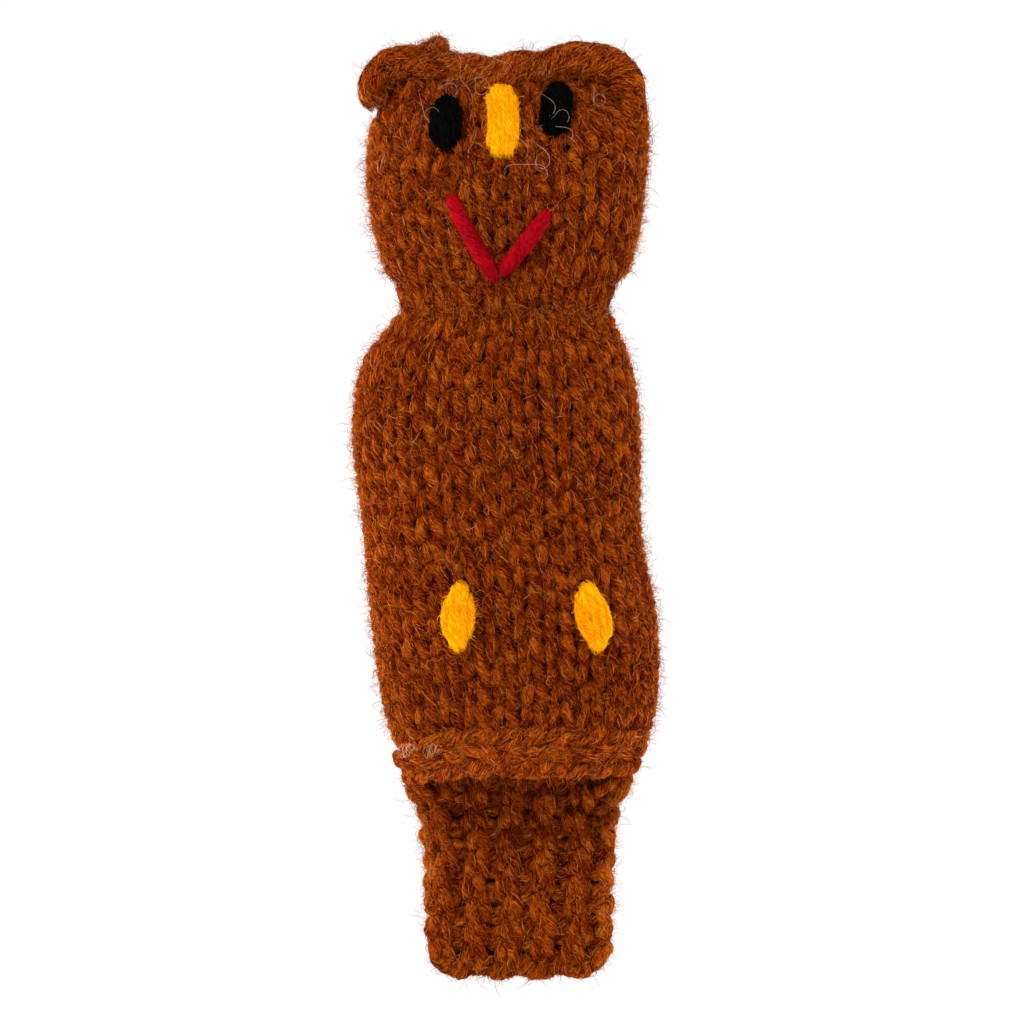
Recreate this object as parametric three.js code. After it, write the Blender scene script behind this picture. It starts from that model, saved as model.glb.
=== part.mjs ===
// A hand-knitted finger puppet: a knitted pocket drawn in at the neck, with an embroidered face,
// curled ears, two embroidered feet and a ribbed tail flap.
// Sizes are in millimetres. +Z runs from the pocket's mouth up to the crown, the face looks along
// -Y, and the origin is the centre of the pocket's mouth.
import * as THREE from "three";
import { mergeVertices } from "three/addons/utils/BufferGeometryUtils.js";

// Cloth and clearances
const wall = 2.4; // thickness of the knitted cloth
const gap = 0.3; // air between neighbouring pieces
const seamRadius = 0.65; // yarn that closes the side seams
const gatherRadius = 0.9; // yarn that draws the neck in

// Body, from the pocket's mouth to the gathered neck
const bodyHeight = 54.6;
const mouthWidth = 26;
const mouthDrift = 1.3; // the pocket's mouth and the tail hang this far towards +X
const hipWidth = 33.4;
const chestWidth = 33.4;
const mouthFront = 6.8; // reach in front of the side seams, at the mouth
const bodyFront = 9.2;
const bodyBack = 5.6; // reach behind the side seams: the back is flat, because it is lain on
const backDrop = 2.9; // the back panel reaches this far below the mouth
const backFlat = 5.25; // the back's bow is cut to this plane, so the puppet lies flat

// Neck and head
const neckWidth = 24.6;
const neckFront = 6;
const neckBack = 4.5;
const headHeight = 26.6; // gathered neck to the upper edge of the head's panels
const headWidth = 32.4;
const crownWidth = 28.6;
const headFront = 9;
const headBack = 5.6;
const nodForward = 25; // degrees that the head can nod, which set the room left under its rim
const nodBackward = 15;

// Edges and ears
const hemRadius = 1.5;
const crownRadius = 1.75;
const crownSag = 0.003; // the crown's edge bows down by this times the square of the distance out
const earRadius = 2;
const earInner = 6.6; // middle of the puppet to the inner end of the left ear
const rightEarInner = 6;
const earReach = 17; // middle of the puppet to the outer end of an ear
const leftTipDrop = 4.2; // how far the ear's tip hangs below the crown
const leftTipRadius = 1.1;
const rightTipDrop = 2.6;
const rightTipRadius = 1.6;
const knotRadius = 0.7;
const knotLength = 3.2;
const knotPlace = -8.6; // middle of the cut yarn end on the left ear

// Embroidery: places across the front, and heights as shares of the head or the body
const stitchHeight = 1.2; // how far the embroidered pads stand up
const leftEyePlace = [-7.4, 0.83];
const rightEyePlace = [5.7, 0.89];
const beakPlace = [-0.5, 0.84];
const leftFootPlace = [-5.7, 0.34];
const rightFootPlace = [9.9, 0.34];
const eyeWidth = 3.9;
const eyeHeight = 6.6;
const beakWidth = 3.8;
const beakHeight = 9;
const footWidth = 4.1;
const footHeight = 8.1;
const mouthRadius = 1.1;
const leftMouthEnds = [-7.2, 0.53, -1.1, 0.125]; // place and share of one end, then of the other
const rightMouthEnds = [4.7, 0.45, 1.1, 0.215];

// Tail flap
const tailWidth = 21.8;
const tailLength = 17.3; // hinge line to the bound-off edge
const tailThickness = 2.8;
const tailRibs = 5;
const tailEdgeRadius = 1.3;
const ribDepth = 0.4;
const edgeWave = 0.35; // the selvedge swells at every second row
const edgeWaves = 4;
const cornerLift = 0.8; // the bound-off edge rises this much towards its corners

const seamHalf = seamRadius + gap; // the panels stop this far from the plane of the seams
const crownDepth = wall + gap;
const neckHeight = bodyHeight;
const crownHeight = bodyHeight + headHeight;
const bodyTop = neckHeight - gatherRadius - gap;
const roundness = 2.4; // exponent of the front's outline: 2 is an ellipse, and more is squarer
const backSquareness = 6;

// The puppet's outline, from below the mouth to the crown. Each station holds a height, how far the
// middle drifts sideways there, half the width, the reach of the front and the reach of the back.
const stations = [
  [-backDrop, 0.5, 0.45 * mouthWidth, mouthFront, bodyBack],
  [0, mouthDrift, 0.5 * mouthWidth, mouthFront, bodyBack],
  [0.1 * bodyHeight, 1.5, 0.46 * hipWidth, 0.85 * bodyFront, bodyBack],
  [0.33 * bodyHeight, 0.8, 0.5 * hipWidth, bodyFront, bodyBack],
  [0.52 * bodyHeight, -0.6, 0.485 * chestWidth, bodyFront, bodyBack],
  [0.79 * bodyHeight, -1.4, 0.5 * chestWidth, bodyFront, bodyBack],
  [0.94 * bodyHeight, -1.1, 0.44 * chestWidth, 0.83 * bodyFront, 0.96 * bodyBack],
  [neckHeight, -0.3, 0.5 * neckWidth, neckFront, neckBack],
  [neckHeight + 0.2 * headHeight, -0.1, 0.445 * headWidth, 0.78 * headFront, 0.93 * headBack],
  [neckHeight + 0.54 * headHeight, -0.2, 0.5 * headWidth, headFront, headBack],
  [neckHeight + 0.84 * headHeight, 0.1, 0.495 * headWidth, 0.66 * headFront, 0.78 * headBack],
  [crownHeight, -0.1, 0.5 * crownWidth, crownDepth, crownDepth],
];
const outline = new THREE.CubicInterpolant(
  stations.map(([height]) => height),
  stations.flatMap(([, ...reach]) => reach),
  4,
);

// One point of the cloth at a height: the angle runs from pi at the left seam to 0 at the right seam,
// and depth is how far below the outer surface the point lies.
function frontPoint(angle, z, depth) {
  const [drift, half, front] = outline.evaluate(z);
  const bow = Math.sin(angle) ** (2 / roundness);
  const side = Math.sign(Math.cos(angle)) * Math.abs(Math.cos(angle)) ** (2 / roundness);
  return [drift + (half - depth) * side, -seamHalf - (front - depth - seamHalf) * bow, z];
}

function backPoint(angle, z, depth) {
  const [drift, half, , back] = outline.evaluate(z);
  const bow = Math.sin(angle) ** (2 / backSquareness);
  const side = Math.cos(angle);
  const y = seamHalf + (back - depth - seamHalf) * bow;
  return [drift + (half - depth) * side, Math.min(y, backFlat - depth), z];
}

// A point that stands out from the front surface at a place seen from the front.
function onFront(x, z, out) {
  const [drift, half, front] = outline.evaluate(z);
  const across = Math.min(Math.abs(x - drift) / half, 1);
  const bow = (1 - across ** roundness) ** (1 / roundness);
  return new THREE.Vector3(x, -seamHalf - (front - seamHalf) * bow - out, z);
}

// Moves every vertex of a closed geometry and keeps it closed.
function bent(geometry, place) {
  geometry.deleteAttribute("normal");
  geometry.deleteAttribute("uv");
  const whole = mergeVertices(geometry);
  const position = whole.attributes.position;
  for (let i = 0; i < position.count; i++)
    position.setXYZ(i, ...place(position.getX(i), position.getY(i), position.getZ(i)));
  whole.computeVertexNormals();
  return whole;
}

// A panel of cloth: a slab bent round the front or the back of the puppet.
function panel(point, turn, low, high, across, up) {
  const slab = new THREE.BoxGeometry(1, 1, 1, across, up, 1);
  return bent(slab, (u, v, w) => {
    const angle = Math.PI * (0.5 - turn * u);
    return point(angle, low + (v + 0.5) * (high - low), (0.5 - w) * wall);
  });
}

const panelFacets = 16;
const frontPanel = (low, high, up) => panel(frontPoint, 1, low, high, panelFacets, up);
const backPanel = (low, high, up) => panel(backPoint, -1, low, high, panelFacets, up);

// A round roll of yarn or cloth along a curve, with blunt ends. The axis is one that the curve never
// runs along, and swell changes the radius from the curve's start, 0, to its end, 1.
const axisY = new THREE.Vector3(0, 1, 0);
const axisZ = new THREE.Vector3(0, 0, 1);
const endBluntness = 8;
function roll(points, radius, rings, axis = axisY, swell = () => 1) {
  const curve = new THREE.CatmullRomCurve3(points);
  return bent(new THREE.SphereGeometry(1, 8, rings), (x, y, z) => {
    const along = THREE.MathUtils.clamp((y + 1) / 2, 0, 1);
    const ring = Math.hypot(x, z);
    const middle = curve.getPointAt(along);
    if (ring < 1e-6) return middle.toArray();
    const grow = (radius * swell(along) * Math.sqrt(1 - Math.abs(y) ** endBluntness)) / ring;
    const side = curve.getTangentAt(along).cross(axis).normalize();
    return middle.addScaledVector(side, x * grow).addScaledVector(axis, z * grow).toArray();
  });
}

// An embroidered pad lying on the front: an oval seen from the front, leaning sideways by lean.
function pad(x, z, width, height, lean) {
  return bent(new THREE.SphereGeometry(1, 12, 8), (u, v, w) => {
    const across = x + (width / 2) * u + lean * v;
    const up = z + (height / 2) * v;
    return onFront(across, up, gap + stitchHeight * (0.5 + 0.5 * w)).toArray();
  });
}

// A side seam: yarn that runs up the slot between the front and back panels.
function sideSeam(side, low, high) {
  const points = [];
  const steps = 10;
  for (let i = 0; i <= steps; i++) {
    const z = low + (i / steps) * (high - low);
    const [drift, half] = outline.evaluate(z);
    points.push(new THREE.Vector3(drift + side * (half - wall / 2), 0, z));
  }
  return roll(points, seamRadius, 14);
}

const puppet = new THREE.Group();

const clothColour = new THREE.Color("rgb(124, 50, 6)");
const rollColour = new THREE.Color("rgb(140, 60, 12)");
const black = new THREE.Color("rgb(10, 10, 10)");
const yellow = new THREE.Color("rgb(252, 165, 6)");
const red = new THREE.Color("rgb(150, 9, 12)");

function add(name, geometry, color) {
  const material = new THREE.MeshStandardMaterial({ color, roughness: 0.95, metalness: 0 });
  const mesh = new THREE.Mesh(geometry, material);
  mesh.name = name;
  puppet.add(mesh);
  return mesh;
}

// Body
const hemTop = 2 * hemRadius + gap;
add("body_front_panel", frontPanel(hemTop, bodyTop, 14), clothColour);
add("body_back_panel", backPanel(-backDrop, bodyTop, 15), clothColour);
add("body_left_seam", sideSeam(-1, hemTop, bodyTop - gap), rollColour);
add("body_right_seam", sideSeam(1, hemTop, bodyTop - gap), rollColour);

// The cast-on edge along the front of the pocket's mouth.
const hemEnd = Math.PI / 12;
const hemPoints = [];
for (let angle = Math.PI - hemEnd; angle > hemEnd - 0.01; angle -= hemEnd) {
  const [x, y] = frontPoint(angle, hemRadius, hemRadius);
  hemPoints.push(new THREE.Vector3(x, y, hemRadius));
}
add("front_hem", roll(hemPoints, hemRadius, 16, axisZ), rollColour);

// The gathering yarn runs round inside the neck's waist.
const ringTube = 0.25;
const gather = bent(new THREE.TorusGeometry(1, ringTube, 6, 28), (x, y, z) => {
  const [drift, half, front, back] = outline.evaluate(neckHeight);
  const reach = (y < 0 ? front : back) - gatherRadius;
  const radial = Math.hypot(x, y);
  const out = ((radial - 1) / ringTube) * gatherRadius;
  const across = half - gatherRadius;
  const normal = new THREE.Vector2(x / across, y / reach).normalize();
  return [
    drift + (across * x) / radial + out * normal.x,
    (reach * y) / radial + out * normal.y,
    neckHeight + (z / ringTube) * gatherRadius,
  ];
});
add("neck_gathering_yarn", gather, rollColour);

// Head. Its lower rims leave the room that the nod needs above the gathering yarn.
function rimAbove(reach, degrees) {
  const turn = THREE.MathUtils.degToRad(degrees);
  return (gatherRadius + gap + reach * Math.sin(turn)) / Math.cos(turn);
}
const headFrontLow = neckHeight + rimAbove(neckFront, nodForward);
const headBackLow = neckHeight + rimAbove(neckBack, nodBackward);
add("head_front_panel", frontPanel(headFrontLow, crownHeight, 9), clothColour);
add("head_back_panel", backPanel(headBackLow, crownHeight, 9), clothColour);
add("head_left_seam", sideSeam(-1, headFrontLow, crownHeight - 2 * wall), rollColour);
add("head_right_seam", sideSeam(1, headFrontLow, crownHeight - 2 * wall), rollColour);

// The bound-off edge along the crown, and the curled corners that make the ears.
const crownMiddle = crownHeight + gap + crownRadius;
const crownPoints = [-earInner, -earInner / 3, rightEarInner / 3, rightEarInner].map(
  (x) => new THREE.Vector3(x, 0, crownMiddle - crownSag * x * x),
);
add("crown_edge", roll(crownPoints, crownRadius, 10), rollColour);

// An ear leaves the crown's end, rises a little, and hangs over at its tip.
const earInset = 0.2;
const earForward = 0.2;
function ear(side, inner, tipDrop, tipRadius) {
  const outer = earReach - tipRadius;
  const points = [
    [inner + gap + earInset, 0.05],
    [0.68 * outer, 0.3],
    [0.93 * outer, -0.5],
    [outer, -tipDrop],
  ].map(([x, rise]) => new THREE.Vector3(side * x, -earForward, crownMiddle + rise));
  const swell = (t) => 0.88 + 0.12 * Math.sin(Math.PI * t) - (1 - tipRadius / earRadius) * t * t;
  return roll(points, earRadius, 14, axisY, swell);
}
add("left_ear", ear(-1, earInner, leftTipDrop, leftTipRadius), rollColour);
add("right_ear", ear(1, rightEarInner, rightTipDrop, rightTipRadius), rollColour);

// The cut end of the yarn lies on the left ear and rises a little towards the middle.
const knotHeight = crownMiddle + earRadius + gap + knotRadius;
const knotRise = 0.1;
const knotPoints = [-1, 0, 1].map(
  (i) =>
    new THREE.Vector3(knotPlace + (i * knotLength) / 2, earForward, knotHeight + knotRise * (1 + i)),
);
add("left_ear_yarn_end", roll(knotPoints, knotRadius, 6), rollColour);

// Face
const onHead = (share) => neckHeight + share * headHeight;
const facePad = ([x, share], width, height, lean) => pad(x, onHead(share), width, height, lean);
add("left_eye", facePad(leftEyePlace, eyeWidth, eyeHeight, 0.1), black);
add("right_eye", facePad(rightEyePlace, eyeWidth, eyeHeight, 0.2), black);
add("beak", facePad(beakPlace, beakWidth, beakHeight, -0.2), yellow);

function mouthStitch([x0, share0, x1, share1]) {
  const points = [0, 0.33, 0.67, 1].map((t) =>
    onFront(x0 + t * (x1 - x0), onHead(share0 + t * (share1 - share0)), gap + mouthRadius),
  );
  return roll(points, mouthRadius, 10);
}
add("mouth_left_stitch", mouthStitch(leftMouthEnds), red);
add("mouth_right_stitch", mouthStitch(rightMouthEnds), red);

// Feet, embroidered on the lower body
const footPad = ([x, share], lean) => pad(x, share * bodyHeight, footWidth, footHeight, lean);
add("left_foot", footPad(leftFootPlace, 0.1), yellow);
add("right_foot", footPad(rightFootPlace, -0.6), yellow);

// Tail flap. Its upper edge is round about the line where it leaves the back panel.
const tail = new THREE.Group();
const hingeRadius = tailThickness / 2;
tail.position.set(mouthDrift, backFlat - hingeRadius, -backDrop - gap - hingeRadius);
puppet.add(tail);

const flap = bent(new THREE.BoxGeometry(1, 1, 1, 4 * tailRibs, 12, 1), (u, v, w) => {
  const rise = hingeRadius * Math.sin(0.45 * Math.PI);
  const z = -tailLength + (v + 0.5) * (tailLength + rise);
  const round = z > 0 ? Math.sqrt(1 - (z / hingeRadius) ** 2) : 1;
  const rib = 1 - (ribDepth / hingeRadius) * (0.5 + 0.5 * Math.cos(2 * Math.PI * tailRibs * u));
  const half = tailWidth / 2 - edgeWave * (1 + Math.cos((2 * Math.PI * edgeWaves * z) / tailLength));
  const lift = cornerLift * (2 * u) ** 2 * Math.max(0, -z / tailLength) ** 2;
  return [2 * half * u, -2 * w * hingeRadius * round * (z > -hingeRadius ? 1 : rib), z + lift];
});
const tailFlap = add("tail_flap", flap, clothColour);

const edgeZ = -tailLength - gap - tailEdgeRadius;
const edgePoints = [-1, -0.5, 0, 0.5, 1].map(
  (share) => new THREE.Vector3(share * (tailWidth / 2 - 1), 0, edgeZ + cornerLift * share ** 2),
);
const tailEdge = add("tail_bound_edge", roll(edgePoints, tailEdgeRadius, 10), rollColour);
tail.add(tailFlap, tailEdge);

export default puppet;
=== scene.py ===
"""A hand-knitted wool finger puppet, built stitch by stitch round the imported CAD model.

Lengths in this script are in millimetres until a mesh is made; the frame's own unit is the metre.
"""
import math

import bpy
import numpy as np
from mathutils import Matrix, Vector


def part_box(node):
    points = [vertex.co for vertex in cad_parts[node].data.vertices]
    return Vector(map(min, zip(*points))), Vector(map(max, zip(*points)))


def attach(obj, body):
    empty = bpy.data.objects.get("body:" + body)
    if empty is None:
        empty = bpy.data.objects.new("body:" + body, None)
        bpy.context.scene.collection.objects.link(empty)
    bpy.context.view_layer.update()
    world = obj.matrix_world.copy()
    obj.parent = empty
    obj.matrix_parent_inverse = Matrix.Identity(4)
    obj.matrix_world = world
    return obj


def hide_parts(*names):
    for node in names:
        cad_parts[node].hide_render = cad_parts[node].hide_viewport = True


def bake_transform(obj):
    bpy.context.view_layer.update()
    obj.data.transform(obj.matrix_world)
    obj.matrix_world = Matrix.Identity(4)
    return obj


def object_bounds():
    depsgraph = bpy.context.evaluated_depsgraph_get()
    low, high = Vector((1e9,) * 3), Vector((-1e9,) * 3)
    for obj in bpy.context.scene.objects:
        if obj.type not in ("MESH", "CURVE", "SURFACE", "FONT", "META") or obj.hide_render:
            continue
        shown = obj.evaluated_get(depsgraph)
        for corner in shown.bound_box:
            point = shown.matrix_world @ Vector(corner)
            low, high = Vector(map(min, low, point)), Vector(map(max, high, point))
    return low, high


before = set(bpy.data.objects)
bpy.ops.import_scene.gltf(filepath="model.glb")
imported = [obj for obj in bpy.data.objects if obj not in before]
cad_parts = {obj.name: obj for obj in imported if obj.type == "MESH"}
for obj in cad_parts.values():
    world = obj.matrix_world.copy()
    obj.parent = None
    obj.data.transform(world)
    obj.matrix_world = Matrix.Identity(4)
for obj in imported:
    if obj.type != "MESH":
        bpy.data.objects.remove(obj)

CAD_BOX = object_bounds()
MM = 0.001
FORWARD, UP = (0, -1, 0), (0, 0, 1)
WORDS = {-1: "front", 1: "back"}  # the sides of the cloth
RANDOM = np.random.default_rng(7)

# Gauge of the knitting
BODY_STITCHES = 12  # across the front, and again across the back
HEAD_STITCHES = 11
BODY_ROWS = (2.6, 3.1)  # height of the lowest and of the highest row
HEAD_ROWS = (3.3, 3.0)
TAIL_RIBS = 5  # each is one knit and one purl column
TAIL_ROWS = (2.7, 2.6)
STEPS_PER_STITCH = 20

# Yarn and loops
YARN_RADIUS = 0.80
PLIES = 3
PLY_DEPTH = 0.12  # depth of the grooves between plies, as a share of the radius
PLY_LAY = 4.2  # length of yarn in which the plies turn once
CLOTH_DEPTH = 1.35  # depth of the cloth's middle under the outer surface
LOOP_DEPTH = 0.55  # how far the legs of a stitch stand in front of that middle
LOOP_LEAN = 0.2  # how far the legs lean, as a share of the stitch's width
LOOP_REACH = 1.35  # how far a loop reaches past its own row
SNUG_WIDTH = 3.05  # a stitch narrower than this is knitted from thinner yarn
FELT_DEPTH = 1.75  # depth of the matted wool between the loops, a sheet painted near black as the shade there
NECK_FULLNESS = 0.1  # the cloth bulges this far out over the gathering yarn
CREASE_LIFT = 0.7  # the neck's crease is this far above the gathering yarn


def box_mm(node):
    low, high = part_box(node)
    return np.array(low) / MM, np.array(high) / MM


def middle_of(node):
    low, high = box_mm(node)
    return (low + high) / 2


NECK = float(middle_of("neck_gathering_yarn")[2])
FRONT_LOW = float(box_mm("body_front_panel")[0][2])
BACK_LOW = float(box_mm("body_back_panel")[0][2])
CROWN = float(box_mm("head_front_panel")[1][2])


# --- the cloth's outer surface
TABLE_STEP = 0.2  # between the heights at which the surface is tabled
ACROSS = 161  # places across it
ARC_POINTS = 721  # points on each outline before they are spaced evenly
FRONT_POWER = 2 / 2.4  # how round the front's outline is
BACK_POWER = 2 / 6  # the back is nearly flat between its edges
HEIGHTS = np.arange(BACK_LOW - 1, CROWN + 0.01, TABLE_STEP)


def outline_rings(name):
    """Height, middle, half width and reach of each ring of vertices of a CAD panel."""
    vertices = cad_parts[name].data.vertices
    flat = np.empty(len(vertices) * 3)
    vertices.foreach_get("co", flat)
    points = flat.reshape(-1, 3) / MM
    rings = []
    for z in np.unique(np.round(points[:, 2], 2)):
        ring = points[np.abs(points[:, 2] - z) < 0.02]
        low, high = ring[:, 0].min(), ring[:, 0].max()
        rings.append((z, (low + high) / 2, (high - low) / 2, np.abs(ring[:, 1]).max()))
    return rings


def neck_ring(side):
    """The ring that the gathering yarn draws the cloth in to."""
    low, high = box_mm("neck_gathering_yarn")
    half = (high[0] - low[0]) / 2 + NECK_FULLNESS
    reach = -low[1] if side < 0 else high[1]
    return (NECK + CREASE_LIFT, (low[0] + high[0]) / 2, half, reach)


def smooth(values, reach=0.8, window=12):
    """Rounds off the corners of an outline, and keeps its ends where they are."""
    offsets = np.arange(-window, window + 1) * TABLE_STEP
    kernel = np.exp(-0.5 * (offsets / reach) ** 2)
    before = 2 * values[0] - values[window:0:-1]
    after = 2 * values[-1] - values[-2:-window - 2:-1]
    return np.convolve(np.concatenate([before, values, after]), kernel / kernel.sum(), "valid")


def cloth_surface(side):
    """Points, outward normals and widths of the front (side -1) or back (side 1), by height."""
    word = WORDS[side]
    rings = outline_rings(f"body_{word}_panel") + outline_rings(f"head_{word}_panel")
    table = np.array(sorted(rings + [neck_ring(side)])).T
    middle, half, reach = (smooth(np.interp(HEIGHTS, table[0], row)) for row in table[1:])
    angle = np.linspace(math.pi, 0, ARC_POINTS)
    bow = np.sin(angle).clip(0) ** (FRONT_POWER if side < 0 else BACK_POWER)
    across = np.cos(angle)
    if side < 0:
        across = np.sign(across) * np.abs(across) ** FRONT_POWER
    points = np.empty((len(HEIGHTS), ACROSS, 3))
    for i, z in enumerate(HEIGHTS):
        x = middle[i] + half[i] * across
        y = side * reach[i] * bow
        arc = np.concatenate([[0], np.cumsum(np.hypot(np.diff(x), np.diff(y)))])
        places = np.linspace(0, arc[-1], ACROSS)
        columns = np.interp(places, arc, x), np.interp(places, arc, y), np.full(ACROSS, z)
        points[i] = np.stack(columns, 1)
    normals = unit(np.cross(np.gradient(points, axis=1), np.gradient(points, axis=0))) * -side
    widths = np.linalg.norm(np.diff(points, axis=1), axis=2).sum(1)
    return points, normals, widths


def unit(vectors):
    return vectors / np.maximum(np.linalg.norm(vectors, axis=-1, keepdims=True), 1e-9)


SURFACE = {side: cloth_surface(side) for side in (-1, 1)}


def sample(grid, u, z):
    """Reads a table at a place across, from 0 at the left seam to 1 at the right, and a height."""
    row = np.clip((z - HEIGHTS[0]) / TABLE_STEP, 0, len(HEIGHTS) - 1.001)
    column = np.clip(u * (ACROSS - 1), 0, ACROSS - 1.001)
    i, j = row.astype(int), column.astype(int)
    a, b = (row - i)[:, None], (column - j)[:, None]
    low = grid[i, j] * (1 - b) + grid[i, j + 1] * b
    high = grid[i + 1, j] * (1 - b) + grid[i + 1, j + 1] * b
    return low * (1 - a) + high * a


SEAM_GROOVE = 0.25  # the cloth sinks this far beside a side seam
SEAM_REACH = 1.2  # over about this distance from it


def cloth_width(side, z):
    """Width of the front or back cloth, along its bow."""
    return np.interp(z, HEIGHTS, SURFACE[side][2])


def on_cloth(side, u, z, out):
    """Points that stand out from the cloth, with their normals.

    Past the lowest and highest tabled heights they carry straight on.
    """
    u, z = np.broadcast_arrays(np.asarray(u, float), np.asarray(z, float))
    points, normals, _ = SURFACE[side]
    place = sample(points, u, z)
    place[:, 2] += z - np.clip(z, HEIGHTS[0], HEIGHTS[-1])
    normal = sample(normals, u, z)
    from_seam = np.minimum(u, 1 - u) * cloth_width(side, z)
    groove = SEAM_GROOVE * np.exp(-((from_seam / SEAM_REACH) ** 2))
    return place + normal * (out - groove)[:, None], normal


def place_across(x, z):
    """The place across the front cloth that is seen at x."""
    row = SURFACE[-1][0][int(np.clip((z - HEIGHTS[0]) / TABLE_STEP, 0, len(HEIGHTS) - 1))]
    return float(np.interp(x, row[:, 0], np.linspace(0, 1, ACROSS)))


def on_front(x, z, out):
    """Points that stand out from the front cloth, placed by where they are seen from the front."""
    u = np.array([place_across(a, b) for a, b in zip(x, z)])
    return on_cloth(-1, u, np.asarray(z, float), np.asarray(out, float))


# --- meshes
class Strands:
    """Gathers tubes of yarn, and fibres, into one mesh.

    Every vertex knows its place in its strand, and lines keeps each yarn's path for its fibres.
    """

    def __init__(self):
        self.points, self.faces, self.strand, self.slots, self.count = [], [], [], [], 0
        self.lines = []

    def add(self, points, faces, strand, slots):
        self.points.append(points)
        self.strand.append(strand)
        for face, slot in zip(faces, slots):
            self.faces.append(face + self.count)
            self.slots.append(np.broadcast_to(slot, len(face)))
        self.count += len(points)

    def make(self, name, materials):
        mesh = bpy.data.meshes.new(name)
        loops = np.concatenate([face.ravel() for face in self.faces]).astype(np.int32)
        sizes = np.concatenate([np.full(len(face), face.shape[1]) for face in self.faces])
        starts = np.concatenate([[0], np.cumsum(sizes)[:-1]]).astype(np.int32)
        mesh.vertices.add(self.count)
        mesh.vertices.foreach_set("co", (np.concatenate(self.points) * MM).ravel())
        mesh.loops.add(len(loops))
        mesh.loops.foreach_set("vertex_index", loops)
        mesh.polygons.add(len(sizes))
        mesh.polygons.foreach_set("loop_start", starts)
        mesh.polygons.foreach_set("material_index", np.concatenate(self.slots).astype(np.int32))
        mesh.polygons.foreach_set("use_smooth", np.ones(len(sizes), bool))
        mesh.update(calc_edges=True)
        attribute = mesh.attributes.new("strand", "FLOAT_VECTOR", "POINT")
        attribute.data.foreach_set("vector", np.concatenate(self.strand).astype(np.float32).ravel())
        for material in materials:
            mesh.materials.append(material)
        piece = bpy.data.objects.new(name, mesh)
        bpy.context.scene.collection.objects.link(piece)
        return piece


def wander(count, size, step=STEPS_PER_STITCH):
    """Smooth random numbers along a strand, about one bump to each step."""
    knots = RANDOM.normal(0, size, count // step + 4)
    return np.interp(np.arange(count) / step, np.arange(len(knots)), knots)


def ring_quads(rings, around):
    """The faces between rings of points that each close on themselves."""
    start = np.arange(rings - 1)[:, None] * around
    here, after = np.arange(around)[None], (np.arange(around)[None] + 1) % around
    beyond = start + around
    quads = np.stack([start + here, start + after, beyond + after, beyond + here], 2)
    return quads.reshape(-1, 4)


YARN_UNEVEN = 0.035  # how much a yarn's thickness varies, as a share of its radius
STRAND_SHIFT = 500  # each strand starts anywhere up to this far along the wool's pattern


def tube(strands, path, normal, radius, sides=10, plies=PLIES, depth=PLY_DEPTH, lay=PLY_LAY):
    """A plied yarn along a path, rounded off and closed at both ends."""
    path, normal = np.asarray(path, float), np.asarray(normal, float)
    count = len(path)
    radius = np.broadcast_to(np.asarray(radius, float), (count,))
    radius = radius * (1 + wander(count, YARN_UNEVEN, 6))
    tangent = unit(np.gradient(path, axis=0))
    side = unit(np.cross(tangent, np.broadcast_to(normal, path.shape)))
    up = np.cross(side, tangent)
    length = np.concatenate([[0], np.cumsum(np.linalg.norm(np.diff(path, axis=0), axis=1))])
    angle = np.linspace(0, 2 * math.pi, sides, endpoint=False)
    turn = 2 * math.pi * length / lay + RANDOM.uniform(0, 2 * math.pi)
    lobe = 1 + depth * np.cos(plies * angle[None] - plies * turn[:, None])
    from_end = np.minimum(length, length[-1] - length) / radius
    cap = np.sqrt(np.clip(1 - (1 - np.minimum(from_end, 1)) ** 2, 0.04, 1))
    ring = side[:, None] * np.cos(angle)[None, :, None] + up[:, None] * np.sin(angle)[None, :, None]
    points = path[:, None] + ring * (radius * cap)[:, None, None] * lobe[:, :, None]
    lay_angle, width = angle[None] - turn[:, None], radius[:, None]
    along = (length + RANDOM.uniform(0, STRAND_SHIFT))[:, None] + 0 * lay_angle
    strand = np.stack([np.cos(lay_angle) * width, np.sin(lay_angle) * width, along], 2)
    fan, last, centre = np.arange(sides), (count - 1) * sides, count * sides
    first_cap = np.stack([np.full(sides, centre), (fan + 1) % sides, fan], 1)
    last_cap = np.stack([np.full(sides, centre + 1), fan + last, (fan + 1) % sides + last], 1)
    every = np.concatenate([points.reshape(-1, 3), path[:1], path[-1:]])
    places = np.concatenate([strand.reshape(-1, 3), strand[0, :1], strand[-1, :1]])
    strands.add(every, [ring_quads(count, sides), first_cap, last_cap], places, [0, 0, 0])
    strands.lines.append((path, side, up, radius))


def curve(points, count):
    """A smooth curve through points, evenly spaced."""
    points = np.asarray(points, float)
    ends = np.concatenate([[2 * points[0] - points[1]], points, [2 * points[-1] - points[-2]]])
    t = np.linspace(0, len(points) - 1.0001, 12 * len(points))
    i, s = t.astype(int), (t % 1)[:, None]
    a, b, c, d = ends[i], ends[i + 1], ends[i + 2], ends[i + 3]
    square, cube = 2 * a - 5 * b + 4 * c - d, 3 * b - a - 3 * c + d
    fine = 0.5 * (2 * b + (c - a) * s + square * s**2 + cube * s**3)
    arc = np.concatenate([[0], np.cumsum(np.linalg.norm(np.diff(fine, axis=0), axis=1))])
    places = np.linspace(0, arc[-1], count)
    return np.stack([np.interp(places, arc, column) for column in fine.T], 1)


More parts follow.
